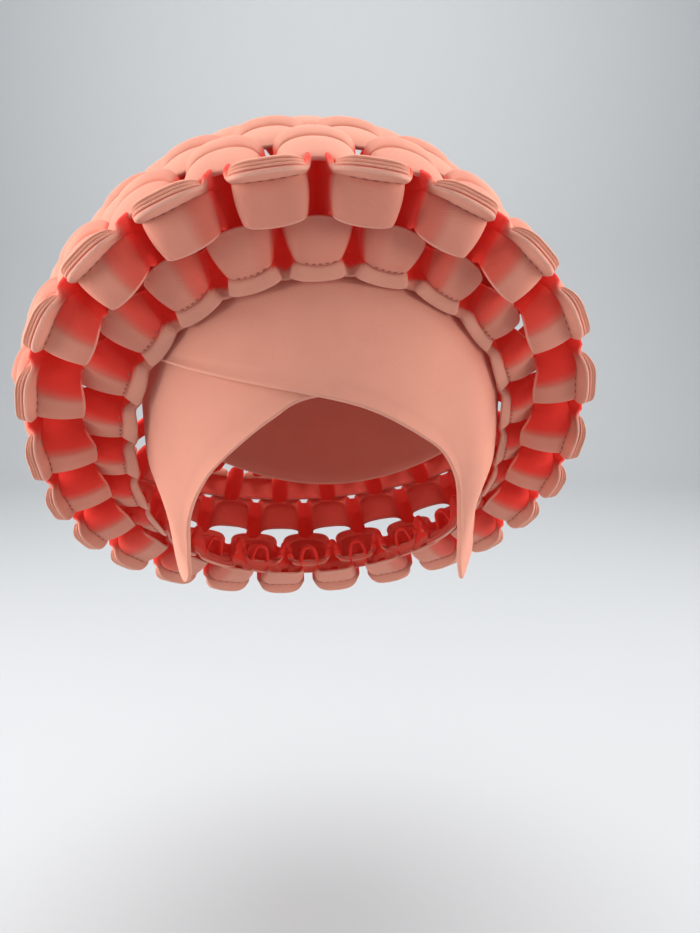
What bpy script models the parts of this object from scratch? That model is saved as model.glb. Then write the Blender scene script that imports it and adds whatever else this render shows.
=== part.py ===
"""Hijab hat: a fitted cap with a crossed front and flaps, and a puffed halo of looped strips round it.

Metres, +Z up, the wearer faces -Y. The origin is the inside of the crown, where the cap sits on a head.
Every wall is one folded cloth, so each piece is an open surface that is given its thickness at the end.
"""

from collections import namedtuple
from math import atan2, cos, hypot, pi, radians, sin

import bmesh
import bpy
from mathutils import Vector

MM = 0.001
COLLECTION = "hijab_hat"

# The head form that the cap fits: its half sizes, and how square its curves are
SKULL_HALF_WIDTH = 81.5 * MM
SKULL_FRONT = 86 * MM
SKULL_BACK = 90 * MM
SKULL_RISE = 82 * MM
SKULL_DROP = 144 * MM
SKULL_POWER = 2.3
SKULL_CENTRE = Vector((0, 0, -SKULL_RISE))

# Cloth walls, and how far each layer's middle lies off the head
GAP = 0.35 * MM
LAYER_GAP = 0.8 * MM
CAP_WALL = 2.4 * MM
WRAP_WALL = 2.2 * MM
CAP_LIFT = CAP_WALL / 2
UNDER_LIFT = CAP_WALL + LAYER_GAP + WRAP_WALL / 2
OVER_LIFT = UNDER_LIFT + WRAP_WALL + LAYER_GAP
CAP_RIM_FRONT = radians(24)
CAP_RIM_BACK = radians(-38)
CAP_SEGMENTS = 32
CAP_RINGS = 7
CROWN_MIDDLE = 0.1

# The halo's ring: where its middle is, how it leans, turns and rolls on the head, how its section is
# pulled in at the sides and swings open there, and how far it reaches back and down at the nape
RING_CENTRE = Vector((-3.5 * MM, -9.3 * MM, -78 * MM))
RING_TILT = radians(33)
RING_YAW = radians(7)
RING_ROLL = radians(1)
SIDE_PULL = 4 * MM
SEAT_RADIUS = 92 * MM
RIM_RADIUS = 128 * MM
MIDDLE_AXIAL = -15 * MM
SEAT_REACH = 106 * MM
FLARE_TURN = radians(28)
FLARE_RADIAL = 110 * MM
FLARE_AXIAL = 30 * MM
NAPE_BACK = 14 * MM
NAPE_LIFT = -7 * MM
NAPE_TURN = radians(35)
NAPE_POWER = 1.5

# The loops: how many go round, how much wider they are at the top, how their valleys sag at the sides,
# their cloth, and one loop's wave as rows of share of the half span and height
LOOPS = 24
TOP_WIDENING = 0.07
LOOP_LEAN = 0.2
LEAN_LEVEL = 0.8
LOOP_WALL = 2.6 * MM
FULL_WAVE = ((-1.0, 0.62), (-0.62, 0.95), (0.0, 1.0), (0.62, 0.95), (1.0, 0.62))
PLAIN_WAVE = ((-1.0, 0.75), (0.0, 1.0), (1.0, 0.75))
ARC_STEPS = 720
SEAT_STEPS = 24
SEAT_SEARCH = 60 * MM

# A loop strip's section in millimetres, radial and axial, at the top of the ring: the free edge, the
# seam where it is stitched, and the end of the lip beyond the seam, first on a loop's crest, then in
# the valley beside it. The spans are half a loop's width at each of the three, as a share of a period,
# and the bow is how far the free edge's ends lie outside its middle. A foot rests on the layer below.
Strip = namedtuple("Strip", "name parity wave crest valley spans bow foot foot_lift")
ON_WRAP = OVER_LIFT + (WRAP_WALL + LOOP_WALL) / 2
ON_CAP = CAP_WALL + LOOP_WALL / 2 + GAP
STRIPS = (
    Strip("loop_band_a", 0.0, FULL_WAVE,
          ((109, 24), (90, 28), (86, 29)), ((99, 14), (88, 20), (84, 25)),
          (0.39, 0.31, 0.37), -3, 84, ON_WRAP),
    Strip("loop_band_b", 0.5, FULL_WAVE,
          ((108, 33), (124, 28), (131, 34)), ((110.3, 23), (115, 9), (117, 5)),
          (0.34, 0.36, 0.42), 4, None, 0),
    Strip("loop_band_c", 0.0, FULL_WAVE,
          ((127, 17), (128, -3), (127, -10)), ((126.5, 26.5), (120, 10), (119, 6)),
          (0.39, 0.38, 0.40), 0, None, 0),
    Strip("loop_band_d", 0.5, FULL_WAVE,
          ((121, -9), (122, -29), (122, -35)), ((124.5, -4.3), (115, -14), (114, -16)),
          (0.39, 0.38, 0.40), 0, None, 0),
    Strip("loop_band_e", 0.0, PLAIN_WAVE,
          ((117, -31), (115, -46), (113, -51)), ((119.1, -30), (107, -39), (103, -43)),
          (0.38, 0.36, 0.40), 0, None, 0),
    Strip("loop_band_f", 0.5, PLAIN_WAVE,
          ((98, -46), (84, -52), (78, -53)), ((110.8, -46), (92, -44), (78, -46)),
          (0.36, 0.36, 0.38), 0, 78, ON_CAP),
)

# A front panel's columns, in degrees seen from the head's middle: azimuth from the front and height of
# the folded lower edge, then of the upper edge that is sewn in under the halo.
Column = namedtuple("Column", "low_turn low_height high_turn high_height")
OVER_COLUMNS = (
    Column(-52, 17, -50, 27),
    Column(-41, 16, -40, 34),
    Column(-19, 13, -21, 42),
    Column(0, 10, 0, 45),
    Column(15, 6, 16, 44),
    Column(30, -2, 32, 38),
    Column(38, -8, 42, 31),
    Column(44, -17, 52, 22),
    Column(47, -29, 62, 13),
    Column(49, -38, 71, 5),
    Column(57, -43, 80, -2),
    Column(72, -41, 90, -9),
    Column(92, -36, 102, -16),
)
UNDER_COLUMNS = (
    Column(41, 12, 40, 34),
    Column(22, 12, 21, 42),
    Column(0, 9, 0, 45),
    Column(-9, 4, -16, 44),
    Column(-18, -3, -30, 39),
    Column(-29, -13, -42, 31),
    Column(-38, -25, -52, 22),
    Column(-42, -35, -62, 13),
    Column(-45, -42, -71, 5),
    Column(-54, -44, -80, -2),
    Column(-70, -41, -90, -9),
    Column(-92, -36, -102, -16),
)
PANEL_ROWS = 5

CLOTH_COLOUR = (0.83, 0.39, 0.30, 1.0)
CLOTH_ROUGHNESS = 0.85


def clear_scene():
    """Remove what a new Blender file holds."""
    for item in list(bpy.data.objects):
        bpy.data.objects.remove(item)


def cloth_material(name):
    """The coral knit of every piece."""
    material = bpy.data.materials.new(name)
    material.use_nodes = True
    shader = material.node_tree.nodes["Principled BSDF"]
    shader.inputs["Base Color"].default_value = CLOTH_COLOUR
    shader.inputs["Roughness"].default_value = CLOTH_ROUGHNESS
    shader.inputs["Metallic"].default_value = 0.0
    return material


def skull_radius(direction, lift):
    """Distance from the head's middle to its surface, lifted outwards, along a unit direction."""
    reach = (SKULL_FRONT if direction.y < 0 else SKULL_BACK) + lift
    height = (SKULL_RISE if direction.z > 0 else SKULL_DROP) + lift
    level = hypot(direction.x / (SKULL_HALF_WIDTH + lift), direction.y / reach)
    return (level ** SKULL_POWER + abs(direction.z / height) ** SKULL_POWER) ** (-1 / SKULL_POWER)


def skull_point(turn, height, lift):
    """Point on the lifted head surface at an azimuth from the front and an angle above level."""
    direction = Vector((sin(turn) * cos(height), -cos(turn) * cos(height), sin(height)))
    return SKULL_CENTRE + direction * skull_radius(direction, lift)


def off_skull(point, lift):
    """How far a point stands off the lifted head surface, measured from the head's middle."""
    offset = point - SKULL_CENTRE
    return offset.length - skull_radius(offset.normalized(), lift)


def grid_piece(name, across, along, place, wall, closed=False):
    """Shape a grid by place(column, row), weld its ends if it is a ring, and give it its wall."""
    mesh = bpy.data.meshes.new(name)
    shape = bmesh.new()
    bmesh.ops.create_grid(shape, x_segments=across, y_segments=along, size=0.5)
    for vertex in shape.verts:
        vertex.co = place(round((vertex.co.x + 0.5) * across), round((vertex.co.y + 0.5) * along))
    if closed:
        bmesh.ops.remove_doubles(shape, verts=shape.verts, dist=0.01 * MM)
    bmesh.ops.recalc_face_normals(shape, faces=shape.faces)
    shape.to_mesh(mesh)
    shape.free()
    return cloth_object(name, mesh, wall)


def cloth_object(name, mesh, wall):
    """Link a surface as one named piece with its material and its wall thickness."""
    piece = bpy.data.objects.new(name, mesh)
    bpy.data.collections[COLLECTION].objects.link(piece)
    mesh.materials.append(cloth_material(name))
    solid = piece.modifiers.new("wall", "SOLIDIFY")
    solid.thickness = wall
    solid.offset = 0.0
    solid.use_even_offset = False
    return piece


def make_cap():
    """The cap over the top and back of the head: rings from its rim up to a closed crown."""
    mesh = bpy.data.meshes.new("crown_cap")
    shape = bmesh.new()
    bmesh.ops.create_cone(shape, cap_ends=False, segments=CAP_SEGMENTS, radius1=1, radius2=0.5, depth=1)
    rim = [edge for edge in shape.edges if all(vertex.co.z > 0 for vertex in edge.verts)]
    for ring in range(1, CAP_RINGS):
        made = bmesh.ops.extrude_edge_only(shape, edges=rim)["geom"]
        rim = [item for item in made if isinstance(item, bmesh.types.BMEdge)]
        for vertex in {vertex for edge in rim for vertex in edge.verts}:
            vertex.co.z = 0.5 + ring
    bmesh.ops.holes_fill(shape, edges=rim, sides=CAP_SEGMENTS)
    crown = [face for face in shape.faces if len(face.verts) == CAP_SEGMENTS]
    bmesh.ops.poke(shape, faces=crown)
    for vertex in shape.verts:
        ring = round(vertex.co.z + 0.5)
        if hypot(vertex.co.x, vertex.co.y) < CROWN_MIDDLE:
            vertex.co = skull_point(0, pi / 2, CAP_LIFT)
            continue
        turn = atan2(vertex.co.x, -vertex.co.y)
        rim_height = CAP_RIM_FRONT + (CAP_RIM_BACK - CAP_RIM_FRONT) * (1 - cos(turn)) / 2
        height = rim_height + (pi / 2 - rim_height) * ring / (CAP_RINGS + 1)
        vertex.co = skull_point(turn, height, CAP_LIFT)
    bmesh.ops.recalc_face_normals(shape, faces=shape.faces)
    shape.to_mesh(mesh)
    shape.free()
    return cloth_object("crown_cap", mesh, CAP_WALL)


def make_wrap(name, columns, lift):
    """A front panel between its lower folded edge and its upper sewn edge."""
    steps = 2 * (len(columns) - 1)

    def place(step, row):
        here = columns[step // 2]
        there = columns[min(step // 2 + 1, len(columns) - 1)]
        share = 0.5 * (step % 2)
        low_turn, low_height, high_turn, high_height = (a + (b - a) * share for a, b in zip(here, there))
        rise = row / PANEL_ROWS
        turn = low_turn + (high_turn - low_turn) * rise
        height = low_height + (high_height - low_height) * rise
        return skull_point(radians(turn), radians(height), lift)

    return grid_piece(name, steps, PANEL_ROWS, place, WRAP_WALL)


def ring_axes():
    """The ring's own sideways, upward and forward directions on the head."""
    side = Vector((cos(RING_YAW), sin(RING_YAW), 0))
    back = Vector((-sin(RING_YAW), cos(RING_YAW), 0))
    up = Vector((0, 0, 1)) * cos(RING_TILT) - back * sin(RING_TILT)
    forward = side.cross(up)
    turned_side = side * cos(RING_ROLL) + up * sin(RING_ROLL)
    turned_up = up * cos(RING_ROLL) - side * sin(RING_ROLL)
    return turned_side, turned_up, forward


SIDE, UP, FORWARD = ring_axes()


def ring_frame(angle):
    """Middle of the halo's section at an angle round the ring, and its radial and axial directions."""
    outward = SIDE * cos(angle) + UP * sin(angle)
    nape = max(0.0, -sin(angle)) ** NAPE_POWER
    turn = NAPE_TURN * nape
    radial = outward * cos(turn) - FORWARD * sin(turn)
    axial = FORWARD * cos(turn) + outward * sin(turn)
    middle = RING_CENTRE + outward * (SEAT_RADIUS - SIDE_PULL * cos(angle) ** 2) + FORWARD * MIDDLE_AXIAL
    middle += Vector((0, NAPE_BACK, NAPE_LIFT)) * nape
    return middle, radial, axial


def halo_point(angle, radial, axial, flares):
    """Point of the halo from its place in the section at an angle, which may flare open at the sides."""
    middle, outward, forward = ring_frame(angle)
    if flares:
        turn = FLARE_TURN * min(1.0, (1 - sin(angle)) ** 2)
        out, on = radial - FLARE_RADIAL, axial - FLARE_AXIAL
        radial = FLARE_RADIAL + out * cos(turn) - on * sin(turn)
        axial = FLARE_AXIAL + on * cos(turn) + out * sin(turn)
    return middle + outward * (radial - SEAT_RADIUS) + forward * (axial - MIDDLE_AXIAL)


def equal_angles():
    """Angles for shares of the way round, from the top, in equal lengths but for the widening."""
    points = [halo_point(2 * pi * step / ARC_STEPS, RIM_RADIUS, 0, False) for step in range(ARC_STEPS + 1)]
    lengths = [0.0]
    for before, after in zip(points, points[1:]):
        lengths.append(lengths[-1] + (after - before).length)
    top = lengths[ARC_STEPS // 4]

    def angle_at(share):
        widened = share + TOP_WIDENING * sin(2 * pi * share) / (2 * pi)
        wanted = (widened * lengths[-1] + top) % lengths[-1]
        step = next(i for i in range(ARC_STEPS) if lengths[i + 1] >= wanted)
        part = (wanted - lengths[step]) / (lengths[step + 1] - lengths[step])
        return 2 * pi * (step + part) / ARC_STEPS

    return angle_at


ANGLE_AT = equal_angles()


def seat_shift(angle, foot, axial, lift, flares):
    """How far the section's foot moves out or in at an angle, so that it rests on the cap."""
    low, high = -SEAT_SEARCH, SEAT_SEARCH
    for _ in range(SEAT_STEPS):
        shift = (low + high) / 2
        if off_skull(halo_point(angle, foot + shift, axial, flares), lift) > 0:
            high = shift
        else:
            low = shift
    return (low + high) / 2


def make_strip(strip):
    """A closed wavy strip round the halo, with its loops outwards and its valleys inwards."""
    period = len(strip.wave) + 1
    rows = len(strip.spans) - 1
    flares = strip is not STRIPS[0]

    def place(step, row):
        corner = step % period
        share, height = strip.wave[corner] if corner < len(strip.wave) else (0.5 / strip.spans[row], 0.0)
        index = step // period % LOOPS + strip.parity
        lean = LOOP_LEAN * sin(2 * pi * index / LOOPS) * (height - LEAN_LEVEL)
        angle = ANGLE_AT((index + share * strip.spans[row] + lean) / LOOPS % 1.0)
        low, high = strip.valley[row], strip.crest[row]
        radial = (low[0] + (high[0] - low[0]) * height) * MM
        if row == 0 and corner < len(strip.wave):
            radial += strip.bow * share ** 2 * MM
        axial = (low[1] + (high[1] - low[1]) * height) * MM
        if strip.foot:
            foot = strip.foot * MM
            hold = min(1.0, max(0.0, (SEAT_REACH - radial) / (SEAT_REACH - foot)))
            radial += hold * seat_shift(angle, foot, axial, strip.foot_lift, flares)
        return halo_point(angle, radial, axial, flares)

    return grid_piece(strip.name, period * LOOPS, rows, place, LOOP_WALL, closed=True)


def main():
    """Build the hat."""
    clear_scene()
    bpy.context.scene.collection.children.link(bpy.data.collections.new(COLLECTION))
    make_cap()
    make_wrap("front_wrap_under", UNDER_COLUMNS, UNDER_LIFT)
    make_wrap("front_wrap_over", OVER_COLUMNS, OVER_LIFT)
    for strip in STRIPS:
        make_strip(strip)


main()
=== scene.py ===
"""Hijab hat in coral crepe knit: a fitted cap, two crossed front panels and a halo of looped strips.

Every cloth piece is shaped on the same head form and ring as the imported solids, with the softness
that the solids leave out: bulging loops, folded edges, ribbed raw lips, rows of stitches and the
knit itself.
Metres, +Z up, the wearer faces -Y.
"""

import logging
from dataclasses import dataclass, field
from enum import Enum
from math import cos, pi, radians, sin

import bmesh
import bpy
import numpy as np
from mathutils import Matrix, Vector

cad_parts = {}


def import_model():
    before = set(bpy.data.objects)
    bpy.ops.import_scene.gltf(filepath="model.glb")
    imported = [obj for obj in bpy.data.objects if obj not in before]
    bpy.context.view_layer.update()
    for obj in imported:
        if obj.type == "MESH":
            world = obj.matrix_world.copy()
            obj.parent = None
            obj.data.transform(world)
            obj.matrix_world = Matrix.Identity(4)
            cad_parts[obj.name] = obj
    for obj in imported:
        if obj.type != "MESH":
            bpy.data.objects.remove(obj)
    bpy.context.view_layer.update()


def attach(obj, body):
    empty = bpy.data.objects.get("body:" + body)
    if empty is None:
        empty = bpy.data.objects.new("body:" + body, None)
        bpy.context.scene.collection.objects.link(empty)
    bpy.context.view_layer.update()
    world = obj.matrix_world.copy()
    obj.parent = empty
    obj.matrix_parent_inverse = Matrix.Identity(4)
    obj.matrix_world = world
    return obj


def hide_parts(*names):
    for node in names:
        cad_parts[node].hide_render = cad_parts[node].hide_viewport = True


LOG = logging.getLogger("hijab_hat")
MM = 0.001


class Lip(Enum):
    """How a strip ends beyond its seam."""

    FOLDED = "one smooth fold"
    RIBBED = "four raw layers, each a little higher than the one in front"


class Hold(Enum):
    """What a strip's foot rests on, with how far off the head it then stands in millimetres."""

    FREE = 0.0
    WRAP = 9.8
    CAP = 4.0


def clear_selection() -> None:
    """Deselect everything, because loading the frame leaves its nodes selected."""
    if bpy.context.view_layer.objects.active and bpy.context.mode != "OBJECT":
        bpy.ops.object.mode_set(mode="OBJECT")
    bpy.ops.object.select_all(action="DESELECT")


def smooth_step(value: np.ndarray, low: float, high: float) -> np.ndarray:
    """Ease from 0 at low to 1 at high.

    Args:
        value: the values to ease.
        low: where the result is 0.
        high: where the result is 1.

    Returns:
        An array of the same shape, from 0 to 1.
    """
    share = np.clip((value - low) / (high - low), 0.0, 1.0)
    return share * share * (3.0 - 2.0 * share)


def unit(vectors: np.ndarray) -> np.ndarray:
    """Scale vectors to length 1 along their last axis."""
    return vectors / np.maximum(np.linalg.norm(vectors, axis=-1, keepdims=True), 1e-9)


def sheet_grid(
    name: str,
    points: np.ndarray,
    uv: np.ndarray,
    attributes: dict[str, np.ndarray],
    ring: bool,
) -> bpy.types.Object:
    """Make a cloth body from a grid whose rows run all the way round its section.

    Args:
        name: the object's name.
        points: places, as columns by rows by 3; the last row joins the first.
        uv: cloth coordinates in metres, as columns by rows plus one by 2.
        attributes: values for each point, by name, as columns by rows.
        ring: whether the last column joins the first.

    Returns:
        The linked object, with closed ends and faces that point outwards.
    """
    columns, rows = points.shape[:2]
    across = columns if ring else columns - 1
    clear_selection()
    bpy.ops.mesh.primitive_grid_add(x_subdivisions=across, y_subdivisions=rows, size=1.0, calc_uvs=True)
    piece = bpy.context.object
    piece.name = name
    mesh = piece.data
    mesh.name = name
    count = len(mesh.vertices)
    flat = np.empty(count * 3, dtype=np.float32)
    mesh.vertices.foreach_get("co", flat)
    flat = flat.reshape(-1, 3)
    column = np.rint((flat[:, 0] + 0.5) * across).astype(int)
    row = np.rint((flat[:, 1] + 0.5) * rows).astype(int)
    placed = points[column % columns, row % rows]
    mesh.vertices.foreach_set("co", placed.astype(np.float32).ravel())
    layer = mesh.uv_layers.active
    layer.name = "cloth"
    corner = np.empty(len(mesh.loops), dtype=np.int32)
    mesh.loops.foreach_get("vertex_index", corner)
    wrapped = np.concatenate([uv, uv[:1]], axis=0) if ring else uv
    if ring:
        wrapped[-1, :, 0] = wrapped[-2, :, 0] + (wrapped[1, :, 0] - wrapped[0, :, 0])
    layer.data.foreach_set("uv", wrapped[column[corner], row[corner]].astype(np.float32).ravel())
    for key, values in attributes.items():
        store = mesh.attributes.new(key, "FLOAT", "POINT")
        store.data.foreach_set("value", values[column % columns, row % rows].astype(np.float32))
    close_body(mesh)
    return piece


def close_body(mesh: bpy.types.Mesh) -> None:
    """Weld a grid's matching sides, fill its open ends and turn its faces outwards."""
    shape = bmesh.new()
    shape.from_mesh(mesh)
    bmesh.ops.remove_doubles(shape, verts=shape.verts, dist=0.005 * MM)
    bmesh.ops.dissolve_degenerate(shape, dist=0.002 * MM, edges=shape.edges)
    open_edges = [edge for edge in shape.edges if edge.is_boundary]
    if open_edges:
        bmesh.ops.holes_fill(shape, edges=open_edges, sides=0)
    bmesh.ops.recalc_face_normals(shape, faces=shape.faces)
    shape.to_mesh(mesh)
    shape.free()


def finish_piece(piece: bpy.types.Object, material: bpy.types.Material, angle: float = 60.0) -> None:
    """Smooth a piece, dress it and let it ride with the hat.

    Args:
        piece: the object to finish.
        material: its only material.
        angle: edges sharper than this many degrees stay sharp.
    """
    clear_selection()
    piece.select_set(True)
    bpy.context.view_layer.objects.active = piece
    bpy.ops.object.shade_smooth_by_angle(angle=radians(angle))
    piece.data.materials.clear()
    piece.data.materials.append(material)
    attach(piece, "root")


@dataclass(frozen=True)
class HeadForm:
    """The rounded head shape that the cap and the panels lie on."""

    half_width: float = 81.5 * MM
    front: float = 86 * MM
    back: float = 90 * MM
    rise: float = 82 * MM
    drop: float = 144 * MM
    power: float = 2.3

    def radius(self, direction: np.ndarray, lift: np.ndarray | float) -> np.ndarray:
        """Measure from the head's middle to its lifted surface.

        Args:
            direction: unit directions.
            lift: how far off the head.

        Returns:
            The distances.
        """
        reach = np.where(direction[..., 1] < 0, self.front, self.back) + lift
        height = np.where(direction[..., 2] > 0, self.rise, self.drop) + lift
        level = np.hypot(direction[..., 0] / (self.half_width + lift), direction[..., 1] / reach)
        total = level**self.power + np.abs(direction[..., 2] / height) ** self.power
        return total ** (-1.0 / self.power)

    def point(self, turn: np.ndarray, height: np.ndarray, lift: np.ndarray | float) -> np.ndarray:
        """Place points on the lifted head.

        Args:
            turn: azimuth from the front in radians.
            height: angle above level in radians.
            lift: how far off the head.

        Returns:
            The points, with a last axis of 3.
        """
        direction = np.stack(
            [np.sin(turn) * np.cos(height), -np.cos(turn) * np.cos(height), np.sin(height)], axis=-1
        )
        centre = np.array((0.0, 0.0, -self.rise))
        return centre + direction * self.radius(direction, lift)[..., None]

    def stand_off(self, points: np.ndarray, lift: float) -> np.ndarray:
        """Measure how far points stand off the lifted head, from its middle."""
        offset = points - np.array((0.0, 0.0, -self.rise))
        return np.linalg.norm(offset, axis=-1) - self.radius(unit(offset), lift)


@dataclass
class HaloRing:
    """The ring that the strips follow round the head, and how their section turns along it.

    The ring leans back by its tilt. Its section opens out towards the sides by the flare, and turns in
    under the nape at the bottom. A foot that rests on the head form moves by the seat search at most.
    """

    centre: tuple[float, float, float] = (-3.5 * MM, -9.3 * MM, -78 * MM)
    tilt: float = radians(33)
    yaw: float = radians(7)
    roll: float = radians(1)
    side_pull: float = 4 * MM
    seat_radius: float = 92 * MM
    seat_reach: float = 106 * MM
    rim_radius: float = 128 * MM
    middle_axial: float = -15 * MM
    flare_turn: float = radians(28)
    flare_radial: float = 110 * MM
    flare_axial: float = 30 * MM
    nape_back: float = 14 * MM
    nape_lift: float = -7 * MM
    nape_turn: float = radians(35)
    nape_power: float = 1.5
    loops: int = 24
    top_widening: float = 0.07
    seat_search: float = 60 * MM
    seat_steps: int = 24
    eased_share: float = 0.03
    eased_sides: tuple[float, float] = (0.8, 0.95)
    steps: int = 720
    side: np.ndarray = field(init=False)
    up: np.ndarray = field(init=False)
    forward: np.ndarray = field(init=False)
    lengths: np.ndarray = field(init=False)

    def __post_init__(self) -> None:
        """Work out the ring's axes and the length along its rim."""
        side = np.array((cos(self.yaw), sin(self.yaw), 0.0))
        back = np.array((-sin(self.yaw), cos(self.yaw), 0.0))
        up = np.array((0.0, 0.0, 1.0)) * cos(self.tilt) - back * sin(self.tilt)
        self.forward = np.cross(side, up)
        self.side = side * cos(self.roll) + up * sin(self.roll)
        self.up = up * cos(self.roll) - side * sin(self.roll)
        angles = np.linspace(0.0, 2 * pi, self.steps + 1)
        rim = self.point(angles, np.full_like(angles, self.rim_radius), np.zeros_like(angles), False)
        pieces = np.linalg.norm(np.diff(rim, axis=0), axis=1)
        self.lengths = np.concatenate([[0.0], np.cumsum(pieces)])

    def point(
        self, angle: np.ndarray, radial: np.ndarray, axial: np.ndarray, flares: bool
    ) -> np.ndarray:
        """Place points of the halo from their place in its section.

        Args:
            angle: angle round the ring in radians, 0 at the side and a quarter turn at the top.
            radial: distance from the ring's middle line.
            axial: distance forward of the ring's plane.
            flares: whether the section opens out towards the sides.

        Returns:
            The points, with a last axis of 3.
        """
        sine, cosine = np.sin(angle)[..., None], np.cos(angle)[..., None]
        outward = self.side * cosine + self.up * sine
        nape = np.maximum(0.0, -sine) ** self.nape_power
        turn = self.nape_turn * nape
        along_radial = outward * np.cos(turn) - self.forward * np.sin(turn)
        along_axial = self.forward * np.cos(turn) + outward * np.sin(turn)
        middle = np.array(self.centre) + outward * (self.seat_radius - self.side_pull * cosine**2)
        middle = middle + self.forward * self.middle_axial
        middle = middle + np.array((0.0, self.nape_back, self.nape_lift)) * nape
        if flares:
            flare = self.flare_turn * np.minimum(1.0, (1 - np.sin(angle)) ** 2)
            out, on = radial - self.flare_radial, axial - self.flare_axial
            radial = self.flare_radial + out * np.cos(flare) - on * np.sin(flare)
            axial = self.flare_axial + on * np.cos(flare) + out * np.sin(flare)
        return (
            middle
            + along_radial * (radial - self.seat_radius)[..., None]
            + along_axial * (axial - self.middle_axial)[..., None]
        )

    def angle_at(self, share: np.ndarray) -> np.ndarray:
        """Turn shares of the way round, from the top, into angles, with wider loops at the top.

        Args:
            share: shares of a full turn.

        Returns:
            Angles in radians.
        """
        share = np.mod(share, 1.0)
        widened = share + self.top_widening * np.sin(2 * pi * share) / (2 * pi)
        top = self.lengths[self.steps // 4]
        wanted = np.mod(widened * self.lengths[-1] + top, self.lengths[-1])
        return 2 * pi * np.interp(wanted, self.lengths, np.arange(self.steps + 1)) / self.steps

    def ease_beside(self, angle: np.ndarray, shift: np.ndarray) -> np.ndarray:
        """Even out the feet's shifts at the ring's sides, where the seat turns from cap to nape.

        Args:
            angle: angles round the ring.
            shift: the shifts, in the same order.

        Returns:
            The shifts, eased at the sides only.
        """
        window = round(len(shift) * self.eased_share)
        wrapped = np.concatenate([shift[-window:], shift, shift[:window]])
        even = np.convolve(wrapped, np.full(2 * window + 1, 1 / (2 * window + 1)), mode="valid")
        weight = smooth_step(np.abs(np.cos(angle)), *self.eased_sides)
        return shift + (even - shift) * weight

    def seat_shift(
        self,
        head: HeadForm,
        angle: np.ndarray,
        foot: float,
        axial: np.ndarray,
        lift: float,
        flares: bool,
    ) -> np.ndarray:
        """Find how far the section's foot moves so that it rests on the layer below.

        Args:
            head: the head form.
            angle: angles round the ring.
            foot: the foot's distance from the ring's middle line.
            axial: the place along the ring's axis.
            lift: how far the foot stays off the head form.
            flares: whether the section opens out.

        Returns:
            The shifts, outwards as positive.
        """
        low = np.full_like(angle, -self.seat_search)
        high = np.full_like(angle, self.seat_search)
        for _ in range(self.seat_steps):
            shift = (low + high) / 2
            outside = head.stand_off(self.point(angle, foot + shift, axial, flares), lift) > 0
            high = np.where(outside, shift, high)
            low = np.where(outside, low, shift)
        return (low + high) / 2


@dataclass(frozen=True)
class LoopWave:
    """One loop of a strip, seen along its section: a squarish crest between two narrow valleys."""

    samples: int = 40
    shoulder: float = 0.45
    squareness: float = 2.7
    valley_squareness: float = 2.0
    width: float = 12.5
    depth: float = 14.0
    valley_width: float = 4.0

    def trace(self) -> tuple[np.ndarray, np.ndarray, np.ndarray]:
        """Sample the loop at equal lengths, from the middle of one valley to just before the next.

        Returns:
            Share of the half span, share of the way into the valley, and height, for each sample.
        """
        turn = np.linspace(0.0, pi / 2, 160)
        crest_x = np.sin(turn) ** (2 / self.squareness)
        crest_h = self.shoulder + (1 - self.shoulder) * np.cos(turn) ** (2 / self.squareness)
        valley_y = np.cos(turn[1:]) ** (2 / self.valley_squareness)
        valley_h = self.shoulder * (1 - np.sin(turn[1:]) ** (2 / self.valley_squareness))
        across = np.concatenate([crest_x, np.ones_like(valley_y)])
        inward = np.concatenate([np.ones_like(crest_x), valley_y])
        height = np.concatenate([crest_h, valley_h])
        place = across * self.width + (1 - inward) * self.valley_width
        steps = np.hypot(np.diff(place), np.diff(height) * self.depth)
        length = np.concatenate([[0.0], np.cumsum(steps)])
        half = np.linspace(0.0, length[-1], self.samples // 2 + 1)
        across = np.interp(half, length, across)
        inward = np.interp(half, length, inward)
        height = np.interp(half, length, height)
        across = np.concatenate([-across[:0:-1], across[:-1]])
        inward = np.concatenate([inward[:0:-1], inward[:-1]])
        height = np.concatenate([height[:0:-1], height[:-1]])
        return across, inward, height


# The ribbed lip is a lens: how blunt it is, how round, and the share of its length left at its ends.
LIP_LENS_POWER = 2.4
LIP_LENS_ROOT = 0.6
LIP_TIP_SHARE = 0.12
LIP_WHOLE_HEIGHTS = (0.65, 1.0)

# Where the light reaches a lip: from which row to which, and above which height of the loop. A lip
# that is only folded is lit later towards its valleys.
LIT_RIBBED_ROWS = (1.0, 1.3)
LIT_RIBBED_HEIGHTS = (0.8, 0.98)
LIT_FOLDED_ROWS = (1.0, 1.25)
LIT_FOLDED_DELAY = 0.45

# A row lies on the inner side of the wall past this share of half the wall.
INNER_SIDE = -0.2

# The raw layers behind a ribbed lip, from front to back: how high each point stands as a share of the
# lip, how far behind the lip it lies in millimetres, and how much painted highlight it takes, most on
# the tops of the layers.
RAW_LAYERS: tuple[tuple[float, float, float], ...] = (
    (0.05, -0.8, 0.0),
    (0.90, -0.8, 0.2),
    (1.00, -1.0, 1.0),
    (1.03, -1.4, 1.0),
    (1.00, -1.8, 0.6),
    (0.93, -1.9, 0.0),
    (1.03, -2.1, 0.8),
    (1.08, -2.5, 1.0),
    (1.04, -2.9, 0.6),
    (0.96, -3.0, 0.0),
    (1.06, -3.2, 0.8),
    (1.12, -3.6, 1.0),
    (1.08, -4.1, 1.0),
    (0.96, -4.3, 0.4),
    (0.45, -4.0, 0.0),
    (0.05, -3.0, 0.0),
)
RAW_LENGTH_SHARE = 0.95
RAW_LENS_POWER = 3.2
RAW_TIP_RISE = 0.15
RAW_TIP_DEPTH = 0.2
RAW_EDGE_ANGLE = 35.0

# One stitch's thread, and how deep its ends sink into the cloth.
THREAD_HALF_WIDTH = 0.38 * MM
THREAD_HALF_HEIGHT = 0.42 * MM
THREAD_SINK = 0.3 * MM


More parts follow.
